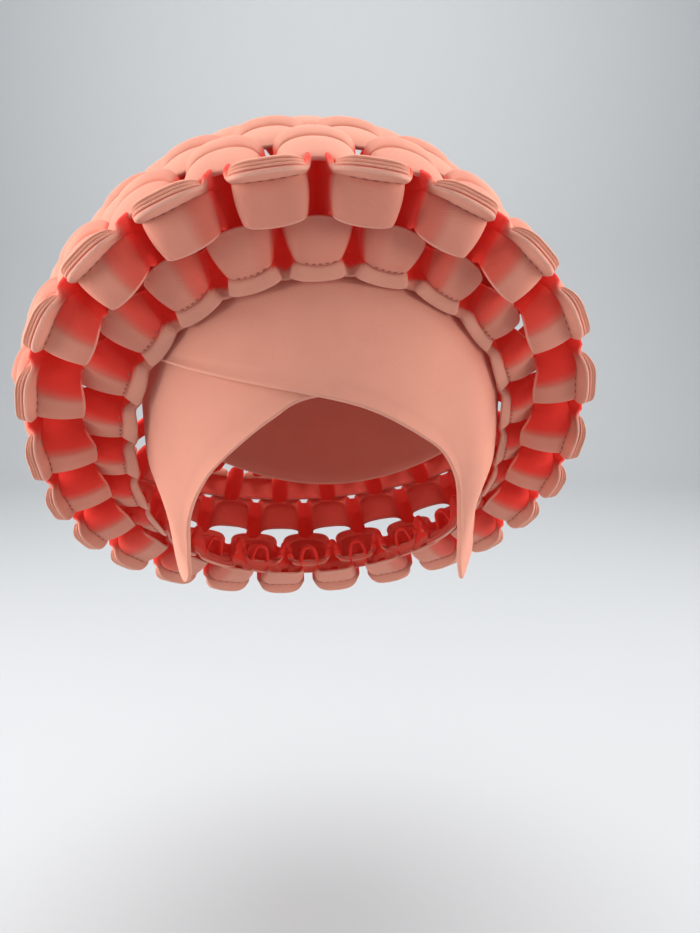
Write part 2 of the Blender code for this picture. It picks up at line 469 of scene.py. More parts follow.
@dataclass
class LoopStrip:
    """One strip of the halo: a doubled band of knit, sewn in loops.

    The section is given in millimetres, radial and axial, at the top of the ring: the free edge, the
    seam and the end of the lip, first on a loop's crest and then in the valley beside it. The spans
    are half a loop's width at the same three places, as a share of a loop.

    In millimetres, the bow and the brow are how far a loop's ends lie outside and in front of its
    middle along the free edge, and the sag is the same along the seam. The tuck is how far the floor
    of a valley reaches beyond its free edge, behind the strip in front, and the reach is how far the
    free edge grows towards the sides of the head. The foot is where the strip rests on its hold.

    The lean tips the loops beside the head and the spread moves them apart near the top, both as a
    share of a loop. The lean shade is the painted red shade on the upper half of a leaning loop, under
    the loop above, and the open face shade is the painted red shade on an open face. Rows run from 0 at
    the free edge by 1 at the seam to 2 at the end of the lip.
    """

    name: str
    parity: float
    crest: tuple[tuple[float, float], ...]
    valley: tuple[tuple[float, float], ...]
    spans: tuple[float, float, float]
    lip: Lip
    flat: tuple[float, float]
    bow: float = 0.0
    brow: float = 0.0
    sag: float = 0.0
    tuck: tuple[float, float] = (0.0, 0.0)
    reach: tuple[float, float] = (0.0, 0.0)
    spread: float = 0.0
    foot: float = 0.0
    hold: Hold = Hold.FREE
    flares: bool = True
    stitched: bool = False
    wall: float = 2.0 * MM
    bulge: float = 1.9 * MM
    groove: float = 0.45 * MM
    lip_roll: float = 0.5 * MM
    groove_width: float = 0.045
    swell_power: float = 0.75
    swell_heights: tuple[float, float] = (0.25, 0.8)
    swell_fall: float = 0.6
    lean: float = 0.20
    lean_level: float = 0.8
    # Painted red shade: on the upper half of a leaning loop, on every open face, and on the side walls,
    # fading out between the wall shade heights.
    lean_shade: float = 0.35
    lean_shade_sides: tuple[float, float] = (-0.28, 0.72)
    lean_shade_power: float = 0.8
    open_face_shade: float = 0.0
    wall_shade_heights: tuple[float, float] = (0.3, 0.75)
    edge_highlight_heights: tuple[float, float] = (0.7, 0.95)
    inside_shade: float = 0.6
    # How much the open light on the lip takes off the painted fold shade.
    open_lip: float = 0.0
    body_rows: tuple[float, ...] = (
        *(0.07, 0.14, 0.24, 0.36, 0.49, 0.62),
        *(0.74, 0.84, 0.91, 0.955, 0.985, 1.0),
    )
    fold_rows: tuple[float, ...] = (1.03, 1.09, 1.2, 1.36, 1.54, 1.7, 1.83)
    edge_turns: tuple[float, ...] = (60.0, 30.0, 0.0, -30.0, -60.0)
    stitch_row: float = 0.965
    stitch_samples: int = 2
    stitch_step: int = 3
    stitch_reach: int = 8
    stitch_lift: float = 0.15 * MM
    wave: LoopWave = field(default_factory=LoopWave)

    def columns(self, ring: HaloRing) -> dict[str, np.ndarray]:
        """Lay the samples of one loop all the way round the ring.

        Args:
            ring: the halo's ring.

        Returns:
            Arrays by name, one value for each column: the loop, and the wave's shares and height.
        """
        across, inward, height = self.wave.trace()
        return {
            "loop": np.repeat(np.arange(ring.loops) + self.parity, len(across)),
            "across": np.tile(across, ring.loops),
            "inward": np.tile(inward, ring.loops),
            "height": np.tile(height, ring.loops),
        }

    def lip_share(self, columns: dict[str, np.ndarray]) -> np.ndarray:
        """Say how much of its length the lip keeps: a ribbed lip is a lens with pointed ends.

        Args:
            columns: the columns' shares and heights.

        Returns:
            A share for each column.
        """
        if self.lip is not Lip.RIBBED:
            return np.ones_like(columns["height"])
        lens = np.clip(1.0 - np.abs(columns["across"]) ** LIP_LENS_POWER, 0.0, 1.0) ** LIP_LENS_ROOT
        behind = 1.0 - smooth_step(columns["height"], *LIP_WHOLE_HEIGHTS)
        return np.maximum(LIP_TIP_SHARE + (1.0 - LIP_TIP_SHARE) * lens, behind)

    def middle(
        self, ring: HaloRing, head: HeadForm, columns: dict[str, np.ndarray], t: float
    ) -> np.ndarray:
        """Place the cloth's middle surface along one row of the section.

        Args:
            ring: the halo's ring.
            head: the head form.
            columns: the columns' shares and heights.
            t: the row, 0 at the free edge, 1 at the seam and 2 at the lip's end.

        Returns:
            A point for each column.
        """
        knots = np.arange(3.0)
        row = 1 + (t - 1) * self.lip_share(columns) if t > 1 else np.full_like(columns["height"], t)
        crest = [np.interp(row, knots, [point[i] for point in self.crest]) for i in (0, 1)]
        valley = [np.interp(row, knots, [point[i] for point in self.valley]) for i in (0, 1)]
        span = np.interp(t, knots, self.spans)
        height = columns["height"]
        inside = 0.5 - (0.5 - span) * columns["inward"]
        beyond = np.sign(columns["across"]) * inside
        share = np.where(columns["inward"] < 1.0, beyond, span * columns["across"])
        sideways = np.sin(2 * pi * columns["loop"] / ring.loops)
        share = share + self.lean * sideways * (height - self.lean_level) + self.spread * sideways
        angle = ring.angle_at((columns["loop"] + share) / ring.loops)
        radial = (valley[0] + (crest[0] - valley[0]) * height) * MM
        axial = (valley[1] + (crest[1] - valley[1]) * height) * MM
        outer = np.minimum(1.0, height / self.wave.shoulder)
        free = max(0.0, 1 - t)
        beside = np.minimum(1.0, (1 - np.sin(angle)) ** 2) * free
        radial = radial + self.reach[0] * beside * MM
        axial = axial + self.reach[1] * beside * MM
        ends = columns["across"] ** 2 * outer * MM
        radial = radial + (self.bow * free + self.sag * min(1.0, t)) * ends
        axial = axial + self.brow * free * ends
        floor = (1.0 - smooth_step(height, 0.0, self.wave.shoulder)) * free**0.7
        radial = radial + self.tuck[0] * floor * MM
        axial = axial + self.tuck[1] * floor * MM
        if self.hold is not Hold.FREE:
            lift = self.hold.value * MM
            foot = self.foot * MM
            share_held = np.clip((ring.seat_reach - radial) / (ring.seat_reach - foot), 0.0, 1.0)
            shift = ring.seat_shift(head, angle, foot, axial, lift, self.flares)
            radial = radial + share_held * ring.ease_beside(angle, shift)
        return ring.point(angle, radial, axial, self.flares)

    def surface(self, ring: HaloRing, head: HeadForm, rows: np.ndarray) -> tuple[np.ndarray, ...]:
        """Work out the middle surface with its normals and its direction across the strip.

        Args:
            ring: the halo's ring.
            head: the head form.
            rows: the rows to sample.

        Returns:
            Places, outward normals, and directions from the free edge to the lip.
        """
        columns = self.columns(ring)
        step = 0.02
        here = np.stack([self.middle(ring, head, columns, float(t)) for t in rows], axis=1)
        later = np.stack([self.middle(ring, head, columns, float(t) + step) for t in rows], axis=1)
        sooner = np.stack([self.middle(ring, head, columns, float(t) - step) for t in rows], axis=1)
        down = unit(later - sooner)
        along = unit(np.roll(here, -1, axis=0) - np.roll(here, 1, axis=0))
        normal = unit(np.cross(along, down))
        count = self.wave.samples
        crests = np.arange(ring.loops) * count + count // 2
        rise = here[crests] - here[crests - count // 2]
        if np.mean(np.sum(normal[crests] * rise, axis=-1)) < 0:
            normal = -normal
        return here, normal, down

    def fold_shade(self, ring: HaloRing) -> np.ndarray:
        """Paint the shade of the folds for each column: red on its side walls, on the upper half of a
        leaning loop, and on every open face.

        Args:
            ring: the halo's ring.

        Returns:
            Values from 0 for no painted shade to 1 for the full painted red of a fold.
        """
        columns = self.columns(ring)
        # Painted shade: the side walls and valleys of each loop turn red.
        walls = 1.0 - smooth_step(columns["height"], *self.wall_shade_heights)
        sideways = np.sin(2 * pi * columns["loop"] / ring.loops)
        # Painted shade on the upper half of a loop that leans beside the head, under the loop above.
        upper = smooth_step(-columns["across"] * np.sign(sideways), *self.lean_shade_sides)
        leaning = self.lean_shade * upper * np.abs(sideways) ** self.lean_shade_power
        # Painted shade on every open face, at least the open face shade.
        return np.maximum(walls, np.maximum(leaning, self.open_face_shade))

    def section_path(self) -> list[tuple[float, float, float]]:
        """List the rows all the way round the section of the folded band.

        Returns:
            For each row: its place across the strip, how far off the middle it lies as a share of
            half the wall, and how far past its place it reaches in metres.
        """
        half = self.wall / 2
        rows = self.body_rows + self.fold_rows
        turns = [radians(turn) for turn in self.edge_turns]
        outer = [(t, 1.0, 0.0) for t in rows]
        lip_end = [(rows[-1], sin(turn), cos(turn) * half) for turn in turns]
        inner = [(t, -1.0, 0.0) for t in reversed(rows)]
        free_edge = [(rows[0], -sin(turn), -cos(turn) * half) for turn in turns]
        return outer + lip_end + inner + free_edge

    def swell(self, t: float, columns: dict[str, np.ndarray]) -> np.ndarray:
        """How far the cloth bulges outwards at a row, most in a loop's middle and not in the valleys.

        Args:
            t: the row.
            columns: the columns' shares and heights.

        Returns:
            The bulge for each column, in metres.
        """
        crest = smooth_step(columns["height"], *self.swell_heights)
        crest = crest * (1 - self.swell_fall * columns["across"] ** 2)
        if t <= 1.0:
            body = self.bulge * sin(pi * t) ** self.swell_power
        else:
            body = self.lip_roll * sin(pi * (t - 1.0)) ** self.swell_power
        pinch = self.groove * float(np.exp(-(((t - 1.0) / self.groove_width) ** 2)))
        return (body - pinch) * crest

    def lit_lip(self, t: float, height: np.ndarray) -> np.ndarray:
        """Say how much of a row's painted red fold shade the open light on the lip takes away.

        Args:
            t: the row.
            height: the columns' heights.

        Returns:
            A share for each column.
        """
        if self.lip is Lip.RIBBED:
            lifted = smooth_step(np.array(t), *LIT_RIBBED_ROWS)
            lifted = lifted * smooth_step(height, *LIT_RIBBED_HEIGHTS)
        else:
            lifted = smooth_step(t - LIT_FOLDED_DELAY * (1 - height), *LIT_FOLDED_ROWS)
        return self.open_lip * lifted

    def build(
        self, ring: HaloRing, head: HeadForm, material: bpy.types.Material
    ) -> bpy.types.Object:
        """Make the strip's band.

        Args:
            ring: the halo's ring.
            head: the head form.
            material: the knit.

        Returns:
            The finished band, which stands for the strip's solid.
        """
        path = self.section_path()
        rows = np.array(sorted({row[0] for row in path}))
        place, normal, down = self.surface(ring, head, rows)
        index = {float(t): i for i, t in enumerate(rows)}
        columns = self.columns(ring)
        height = columns["height"]
        shade = self.fold_shade(ring)
        points, depth, rim = [], [], []
        for t, side, past in path:
            i = index[t]
            off = side * self.wall / 2 + self.swell(t, columns)
            points.append(place[:, i] + normal[:, i] * off[:, None] + down[:, i] * past)
            # Painted shade: the inner side of the wall takes a steady red, as it lies inside the loop.
            inside = self.inside_shade if side < INNER_SIDE else 0.0
            # Painted shade of the folds, lessened where the open light reaches the lip.
            depth.append(np.maximum(shade * (1 - self.lit_lip(t, height)), inside))
            # Painted highlight: a lighter colour on the rounded edge rows, fading out towards the
            # valleys.
            rim.append(smooth_step(height, *self.edge_highlight_heights) if past else np.zeros_like(height))
        grid = np.stack(points, axis=1)
        attributes = {"painted_fold_shade": np.stack(depth, axis=1), "painted_edge_highlight": np.stack(rim, axis=1)}
        attributes["painted_rib_highlight"] = np.zeros_like(attributes["painted_fold_shade"])
        piece = sheet_grid(self.name + "_cloth", grid, self.cloth_uv(grid), attributes, ring=True)
        finish_piece(piece, material)
        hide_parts(self.name)
        return piece

    @staticmethod
    def cloth_uv(grid: np.ndarray) -> np.ndarray:
        """Measure the cloth along and across the strip.

        Args:
            grid: the strip's places, as columns by rows by 3.

        Returns:
            Lengths in metres, as columns by rows plus one by 2.
        """
        middle = grid[:, 4]
        along = np.concatenate([[0.0], np.cumsum(np.linalg.norm(np.diff(middle, axis=0), axis=1))])
        ringed = np.concatenate([grid, grid[:, :1]], axis=1)
        steps = np.linalg.norm(np.diff(ringed, axis=1), axis=2).mean(axis=0)
        across = np.concatenate([[0.0], np.cumsum(steps)])
        return np.stack(np.meshgrid(along, across, indexing="ij"), axis=-1)

    def ribs(
        self, ring: HaloRing, head: HeadForm, material: bpy.types.Material
    ) -> bpy.types.Object:
        """Make the raw layers that stand behind the lip, each a little higher than the one in front.

        Args:
            ring: the halo's ring.
            head: the head form.
            material: the knit.

        Returns:
            The finished layers, as one piece.
        """
        place, normal, down = self.surface(ring, head, np.array([1.0, 1.5]))
        seam, facing, lifted = place[:, 0], normal[:, 1], down[:, 1]
        columns = self.columns(ring)
        height = columns["height"]
        lens = np.sqrt(np.clip(1.0 - np.abs(columns["across"]) ** RAW_LENS_POWER, 0.0, 1.0))
        lens = lens * smooth_step(height, 0.3, 0.75)
        seam_point, lip_end = np.array(self.crest[1]), np.array(self.crest[2])
        length = float(np.linalg.norm(lip_end - seam_point)) * RAW_LENGTH_SHARE * MM
        points, depth, raw = [], [], []
        for rise, off, edge in RAW_LAYERS:
            high = rise * length * (RAW_TIP_RISE + (1 - RAW_TIP_RISE) * lens)
            back = off * (RAW_TIP_DEPTH + (1 - RAW_TIP_DEPTH) * lens) * MM
            points.append(seam + lifted * high[:, None] + facing * back[:, None])
            # Painted shade on the raw layers, red towards the valleys.
            depth.append(1.0 - smooth_step(height, 0.3, 0.9))
            # Painted highlight on the tops of the raw layers.
            raw.append(np.full_like(height, edge))
        grid = np.stack(points, axis=1)
        attributes = {"painted_fold_shade": np.stack(depth, axis=1), "painted_rib_highlight": np.stack(raw, axis=1)}
        attributes["painted_edge_highlight"] = np.zeros_like(attributes["painted_fold_shade"])
        name = self.name + "_raw_layers"
        piece = sheet_grid(name, grid, self.cloth_uv(grid), attributes, ring=True)
        finish_piece(piece, material, RAW_EDGE_ANGLE)
        return piece

    def stitches(
        self, ring: HaloRing, head: HeadForm, material: bpy.types.Material
    ) -> bpy.types.Object:
        """Sew a row of short stitches across the front of each loop, just before the seam.

        Args:
            ring: the halo's ring.
            head: the head form.
            material: the thread.

        Returns:
            The stitches, as one piece.
        """
        place, normal, _ = self.surface(ring, head, np.array([self.stitch_row]))
        off = self.wall / 2 + self.swell(self.stitch_row, self.columns(ring)) + self.stitch_lift
        line = place[:, 0] + normal[:, 0] * off[:, None]
        shape = bmesh.new()
        count = self.wave.samples
        reach = self.stitch_reach
        for loop in range(ring.loops):
            for start in range(-reach, reach - 1, self.stitch_step):
                first = loop * count + count // 2 + start
                end = line[(first + self.stitch_samples) % len(line)]
                add_stitch(shape, line[first], end, normal[first, 0])
        mesh = bpy.data.meshes.new(self.name + "_stitches")
        shape.to_mesh(mesh)
        shape.free()
        piece = bpy.data.objects.new(self.name + "_stitches", mesh)
        bpy.context.scene.collection.objects.link(piece)
        finish_piece(piece, material)
        return piece


def add_stitch(
    shape: bmesh.types.BMesh, start: np.ndarray, end: np.ndarray, facing: np.ndarray
) -> None:
    """Add one stitch: a short thread that is thick in its middle and sinks at both ends.

    Args:
        shape: the mesh to add to.
        start: where the thread comes out of the cloth.
        end: where it goes back in.
        facing: the cloth's outward normal.
    """
    along = unit(end - start)
    side = unit(np.cross(along, facing)) * THREAD_HALF_WIDTH
    top = facing * THREAD_HALF_HEIGHT
    rings = []
    for share in (0.25, 0.75):
        middle = start + (end - start) * share
        rings.append([shape.verts.new(middle + offset) for offset in (side, top, -side, -top)])
    first = shape.verts.new(start - facing * THREAD_SINK)
    last = shape.verts.new(end - facing * THREAD_SINK)
    for i in range(4):
        j = (i + 1) % 4
        shape.faces.new((first, rings[0][j], rings[0][i]))
        shape.faces.new((rings[0][i], rings[0][j], rings[1][j], rings[1][i]))
        shape.faces.new((rings[1][i], rings[1][j], last))


def halo_strips() -> list[LoopStrip]:
    """List the six strips, from the innermost at the front to the one at the back of the crown."""
    squarish = LoopWave(squareness=5.0)
    tapered = LoopWave(squareness=3.6)
    rounded = LoopWave(squareness=2.3)
    return [
        LoopStrip(
            "loop_band_a",
            0.0,
            crest=((109, 24), (89.5, 28), (83.6, 29.6)),
            valley=((99, 14), (88, 20), (83.2, 28)),
            spans=(0.43, 0.315, 0.42),
            lip=Lip.FOLDED,
            flat=(0.022, 0.90),
            bow=-3,
            foot=84,
            hold=Hold.WRAP,
            flares=False,
            stitched=True,
            reach=(9, -3.5),
            sag=1.6,
            # Painted red shade on the loops' upper halves, open faces and walls.
            lean_shade=0.9,
            open_face_shade=0.2,
            wall_shade_heights=(0.6, 0.97),
            spread=0.12,
            bulge=2.0 * MM,
            open_lip=1.0,
            wave=tapered,
        ),
        LoopStrip(
            "loop_band_b",
            0.5,
            crest=((109, 32.5), (126, 28), (131.5, 33)),
            valley=((110.3, 23), (115, 9), (124, 2)),
            spans=(0.335, 0.355, 0.405),
            lip=Lip.RIBBED,
            flat=(0.029, 1.25),
            bow=1.5,
            sag=1.2,
            tuck=(-8, -4),
            reach=(-5, 0),
            # Painted red shade on the loops' upper halves, open faces and walls.
            lean_shade=0.9,
            open_face_shade=0.2,
            wall_shade_heights=(0.6, 0.97),
            spread=0.04,
            stitched=True,
            bulge=2.2 * MM,
            open_lip=0.8,
            wave=squarish,
        ),
        LoopStrip(
            "loop_band_c",
            0.0,
            crest=((125.4, 17), (125.4, -2), (126.4, -10)),
            valley=((126.5, 26.5), (120, 10), (119, 6)),
            spans=(0.39, 0.38, 0.43),
            lip=Lip.FOLDED,
            flat=(0.027, 1.18),
            brow=8,
            bulge=2.4 * MM,
            groove=1.1 * MM,
            lip_roll=1.2 * MM,
            wave=rounded,
        ),
        LoopStrip(
            "loop_band_d",
            0.5,
            crest=((119.4, -9), (119.4, -28), (120.9, -35)),
            valley=((124.5, -4.3), (115, -14), (114, -27)),
            spans=(0.39, 0.38, 0.43),
            lip=Lip.FOLDED,
            flat=(0.025, 1.14),
            bulge=2.4 * MM,
            groove=1.1 * MM,
            lip_roll=1.2 * MM,
            wave=rounded,
        ),
        LoopStrip(
            "loop_band_e",
            0.0,
            crest=((117, -31), (115, -46), (113, -51)),
            valley=((119.1, -30), (107, -39), (100, -44.5)),
            spans=(0.38, 0.36, 0.40),
            lip=Lip.RIBBED,
            flat=(0.024, 1.05),
        ),
        LoopStrip(
            "loop_band_f",
            0.5,
            crest=((97, -46), (84, -52), (78, -53)),
            valley=((110.8, -46), (92, -44), (78, -46)),
            spans=(0.36, 0.36, 0.38),
            lip=Lip.FOLDED,
            flat=(0.042, 1.03),
            foot=78,
            hold=Hold.CAP,
        ),
    ]


@dataclass
class Halo:
    """The puffed ring of looped strips."""

    head: HeadForm
    ring: HaloRing = field(default_factory=HaloRing)
    strips: list[LoopStrip] = field(default_factory=halo_strips)

    def build(self, knit: bpy.types.Material, thread: bpy.types.Material) -> None:
        """Args:
            knit: the cloth's finish.
            thread: the stitches' finish.
        """
        for strip in self.strips:
            band = strip.build(self.ring, self.head, knit)
            if strip.lip is Lip.RIBBED:
                strip.ribs(self.ring, self.head, knit)
            if strip.stitched:
                strip.stitches(self.ring, self.head, thread)
            LOG.info("%s: %d faces", band.name, len(band.data.polygons))


@dataclass
class CrownCap:
    """The fitted cap, one wall of knit with a rolled rim."""

    head: HeadForm
    rim_front: float = radians(24)
    rim_back: float = radians(-38)
    wall: float = 2.2 * MM
    inner_gap: float = 0.15 * MM
    hem_depth: float = 0.35 * MM
    hem_place: float = 0.1
    hem_width: float = 0.035
    rim_drop: float = radians(0.6)
    inside_shade: float = 0.35
    flat: tuple[float, float] = (0.26, 0.26)
    flat_area: float = 0.0555
    columns: int = 144
    rows: int = 40

    def build(self, knit: bpy.types.Material) -> bpy.types.Object:
        """Make the cap from its rim to its crown and back down inside.

        Args:
            knit: the cloth's finish.

        Returns:
            The finished cap, which stands for the cap's solid.
        """
        turn = np.linspace(0.0, 2 * pi, self.columns, endpoint=False)[:, None]
        low = self.rim_front + (self.rim_back - self.rim_front) * (1 - np.cos(turn)) / 2
        rise = np.linspace(0.0, 1.0, self.rows)[None, :]
        height = low + (pi / 2 - low) * rise
        hem = self.hem_depth * np.exp(-(((rise - self.hem_place) / self.hem_width) ** 2))
        turned = np.broadcast_to(turn, height.shape)
        outer = self.head.point(turned, height, self.wall - hem)
        inner = self.head.point(turned, height, self.inner_gap)
        edge = self.head.point(turn[:, 0], low[:, 0] - self.rim_drop, self.wall / 2)[:, None]
        grid = np.concatenate([outer, inner[:, ::-1], edge], axis=1)
        shape = grid.shape[:2]
        # Painted shade on the cap's inner surface.
        inside = np.zeros(shape)
        inside[:, self.rows : 2 * self.rows] = self.inside_shade
        plain = np.zeros(shape)
        attributes = {"painted_fold_shade": inside, "painted_edge_highlight": plain, "painted_rib_highlight": plain}
        piece = sheet_grid("crown_cap_cloth", grid, LoopStrip.cloth_uv(grid), attributes, ring=True)
        finish_piece(piece, knit)
        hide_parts("crown_cap")
        LOG.info("%s: %d faces", piece.name, len(piece.data.polygons))
        return piece


@dataclass
class FrontPanel:
    """A front panel, folded along its lower edge and sewn in under the halo along its upper edge.

    Each column gives, in degrees, the azimuth and height of the lower edge and then of the upper
    edge. The flap's lower edge curls away from the head, and beside the cheeks the cloth lies closer,
    between the cheek's turns and heights in degrees.
    """

    name: str
    head: HeadForm
    lift: float
    columns: tuple[tuple[float, float, float, float], ...]
    curl: float
    wall: float = 2.0 * MM
    steps: int = 12
    rows: int = 30
    flat: tuple[float, float] = (0.055, 0.27)
    underlap: float = 1.09
    cheek: float = 7.0 * MM
    cheek_turns: tuple[float, float] = (40.0, 72.0)
    cheek_heights: tuple[float, float] = (14.0, 34.0)
    flap_starts: tuple[float, float] = (0.60, 0.80)
    flap_ends: tuple[float, float] = (0.9, 1.0)
    ripple: float = 0.5 * MM
    hem_roll: float = 0.45 * MM
    hem_groove: float = 0.25 * MM
    hem_width: float = 0.02
    groove_place: float = 0.07
    # Painted shade near the sewn upper edge, under the halo.
    sewn_edge_shade: float = 0.42
    sewn_shade_rises: tuple[float, float] = (0.66, 0.98)
    inside_shade: float = 0.6
    panel_edge_highlight: float = 0.1
    edge_turns: tuple[float, ...] = (50.0, 0.0, -50.0)
    edge_reach: float = radians(0.6)

    def spline(self) -> np.ndarray:
        """Run a smooth curve through the columns.

        Returns:
            Columns of four angles in radians.
        """
        knots = np.radians(np.array(self.columns, dtype=float))
        padded = np.concatenate([2 * knots[:1] - knots[1:2], knots, 2 * knots[-1:] - knots[-2:-1]])
        made = []
        for i in range(len(knots) - 1):
            before, here, there, after = padded[i : i + 4]
            for step in range(self.steps):
                s = step / self.steps
                made.append(
                    0.5
                    * (
                        2 * here
                        + (there - before) * s
                        + (2 * before - 5 * here + 4 * there - after) * s**2
                        + (3 * here - before - 3 * there + after) * s**3
                    )
                )
        made.append(knots[-1])
        return np.array(made)

    def build(self, knit: bpy.types.Material) -> bpy.types.Object:
        """Make the panel.

        Args:
            knit: the cloth's finish.

        Returns:
            The finished panel, which stands for the panel's solid.
        """
        line = self.spline()
        line[:, 2:] = line[:, :2] + (line[:, 2:] - line[:, :2]) * self.underlap
        count = len(line)
        rise = np.linspace(0.0, 1.0, self.rows) ** 1.5
        turn = line[:, :1] + (line[:, 2:3] - line[:, :1]) * rise
        height = line[:, 1:2] + (line[:, 3:4] - line[:, 1:2]) * rise
        way = np.linspace(0.0, 1.0, count)[:, None]
        flap = smooth_step(way, *self.flap_starts) * (1 - smooth_step(way, *self.flap_ends))
        lift = self.lift + flap * self.curl * (1 - rise) ** 4
        beside = smooth_step(np.degrees(np.abs(turn)), *self.cheek_turns)
        lift = lift - self.cheek * beside * smooth_step(-np.degrees(height), *self.cheek_heights)
        lift = lift + self.ripple * np.sin(way * 9.0 + rise * 5.0) * (1 - (2 * rise - 1) ** 2)
        roll = self.hem_roll * np.exp(-((rise / self.hem_width) ** 2))
        groove = self.hem_groove * np.exp(-(((rise - self.groove_place) / self.hem_width) ** 2))
        half = self.wall / 2 * np.minimum(1.0, np.minimum(way, 1 - way) * count / 3 + 0.15)
        outer = self.head.point(turn, height, lift + half + (roll - groove))
        inner = self.head.point(turn, height, lift - half)
        low_edge = self.edge(line, 0, lift[:, :1], half, -1)
        high_edge = self.edge(line, 2, lift[:, -1:], half, 1)
        grid = np.concatenate([outer, high_edge, inner[:, ::-1], low_edge], axis=1)
        shape = grid.shape[:2]
        depth, rim = np.zeros(shape), np.zeros(shape)
        inner_start = self.rows + len(self.edge_turns)
        # Painted shade: the outer face turns red towards the sewn upper edge, under the halo.
        depth[:, : self.rows] = self.sewn_edge_shade * smooth_step(rise, *self.sewn_shade_rises)
        # Painted shade on the panel's inner side.
        depth[:, inner_start : inner_start + self.rows] = self.inside_shade
        # Painted highlight on the panel's folded lower edge.
        rim[:, inner_start + self.rows :] = self.panel_edge_highlight
        attributes = {"painted_fold_shade": depth, "painted_edge_highlight": rim, "painted_rib_highlight": np.zeros(shape)}
        uv = LoopStrip.cloth_uv(grid)
        piece = sheet_grid(self.name + "_cloth", grid, uv, attributes, ring=False)
        finish_piece(piece, knit)
        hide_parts(self.name)
        LOG.info("%s: %d faces", piece.name, len(piece.data.polygons))
        return piece

    def edge(
        self, line: np.ndarray, first: int, lift: np.ndarray, half: np.ndarray, sign: int
    ) -> np.ndarray:
        """Round off one long edge.

        Args:
            line: the smooth columns.
            first: where the edge's azimuth stands in a column.
            lift: how far off the head the edge lies.
            half: half the wall.
            sign: 1 for the upper edge, -1 for the lower one.

        Returns:
            A row of points round the edge for each of its turns.
        """
        turn, height = line[:, first : first + 1], line[:, first + 1 : first + 2]
        rows = []
        for turned in self.edge_turns:
            angle = radians(turned) * sign
            past = cos(angle) * self.edge_reach * sign
            off = sin(angle) * half
            rows.append(self.head.point(turn, height + past, lift + off)[:, 0])
        return np.stack(rows, axis=1)


# The columns of the two front panels, from the side where each is sewn in to the end of its flap.
OVER_COLUMNS: tuple[tuple[float, float, float, float], ...] = (
    (-52, 17, -50, 27),
    (-41, 16, -40, 34),
    (-19, 13, -21, 42),
    (0, 10, 0, 45),
    (15, 6, 16, 44),
    (30, -2, 32, 38),
    (38, -8, 42, 31),
    (44, -17, 52, 22),
    (47, -29, 62, 13),
    (49, -38, 71, 5),
    (57, -43, 80, -2),
    (72, -41, 90, -9),
    (92, -36, 102, -16),
)
UNDER_COLUMNS: tuple[tuple[float, float, float, float], ...] = (
    (41, 12, 40, 34),
    (22, 12, 21, 42),
    (0, 9, 0, 45),
    (-9, 4, -16, 44),
    (-18, -3, -30, 39),
    (-29, -13, -42, 31),
    (-38, -25, -52, 22),
    (-42, -35, -62, 13),
    (-45, -42, -71, 5),
    (-54, -44, -80, -2),
    (-70, -41, -90, -9),
    (-92, -36, -102, -16),
)


def front_panels(head: HeadForm) -> list[FrontPanel]:
    """List the two panels, the lower one first, each a wall and a gap above the layer below.

    Args:
        head: the head form.

    Returns:
        The panels.
    """
    return [
        FrontPanel("front_wrap_under", head, lift=4.3 * MM, columns=UNDER_COLUMNS, curl=2.5 * MM),
        FrontPanel("front_wrap_over", head, lift=7.3 * MM, columns=OVER_COLUMNS, curl=5.0 * MM),
    ]


def new_group(
    name: str, inputs: dict[str, tuple[str, float]], outputs: dict[str, str]
) -> bpy.types.NodeTree:
    """Make a shader node group with named sockets.

    Args:
        name: the group's name.
        inputs: socket type and starting value, by name.
        outputs: socket type, by name.

    Returns:
        The group, with its input and output nodes in place.
    """
    group = bpy.data.node_groups.new(name, "ShaderNodeTree")
    for key, (kind, value) in inputs.items():
        socket = group.interface.new_socket(name=key, in_out="INPUT", socket_type=kind)
        if kind == "NodeSocketFloat":
            socket.default_value = value
    for key, kind in outputs.items():
        group.interface.new_socket(name=key, in_out="OUTPUT", socket_type=kind)
    group.nodes.new("NodeGroupInput").name = "in"
    group.nodes.new("NodeGroupOutput").name = "out"
    return group


def math_node(
    tree: bpy.types.NodeTree, operation: str, first: object, second: object = None, third: object = None
) -> bpy.types.NodeSocket:
    """Add a Math node.

    Args:
        tree: the tree to add to.
        operation: what the node does.
        first: a socket or a number.
        second: a socket or a number.
        third: a socket or a number.

    Returns:
        The node's output.
    """
    node = tree.nodes.new("ShaderNodeMath")
    node.operation = operation
    for slot, value in zip(node.inputs, (first, second, third)):
        if isinstance(value, bpy.types.NodeSocket):
            tree.links.new(value, slot)
        elif value is not None:
            slot.default_value = value
    return node.outputs[0]


def mix_colours(
    tree: bpy.types.NodeTree, factor: object, first: object, second: object
) -> bpy.types.NodeSocket:
    """Blend two colours.

    Args:
        tree: the tree to add to.
        factor: a socket or a number.
        first: the colour at 0, a socket or a value.
        second: the colour at 1, a socket or a value.

    Returns:
        The blended colour.
    """
    node = tree.nodes.new("ShaderNodeMix")
    node.data_type = "RGBA"
    factor_slot, first_slot, second_slot = node.inputs[0], node.inputs[6], node.inputs[7]
    for slot, value in ((factor_slot, factor), (first_slot, first), (second_slot, second)):
        if isinstance(value, bpy.types.NodeSocket):
            tree.links.new(value, slot)
        else:
            slot.default_value = value
    return node.outputs[2]


# The knit's courses against its wales, and the fuzz of its yarn.
COURSE_PITCH_SHARE = 0.62
COURSE_HEIGHT = 0.35
YARN_FUZZ_SCALE = 900.0
YARN_FUZZ = 0.9


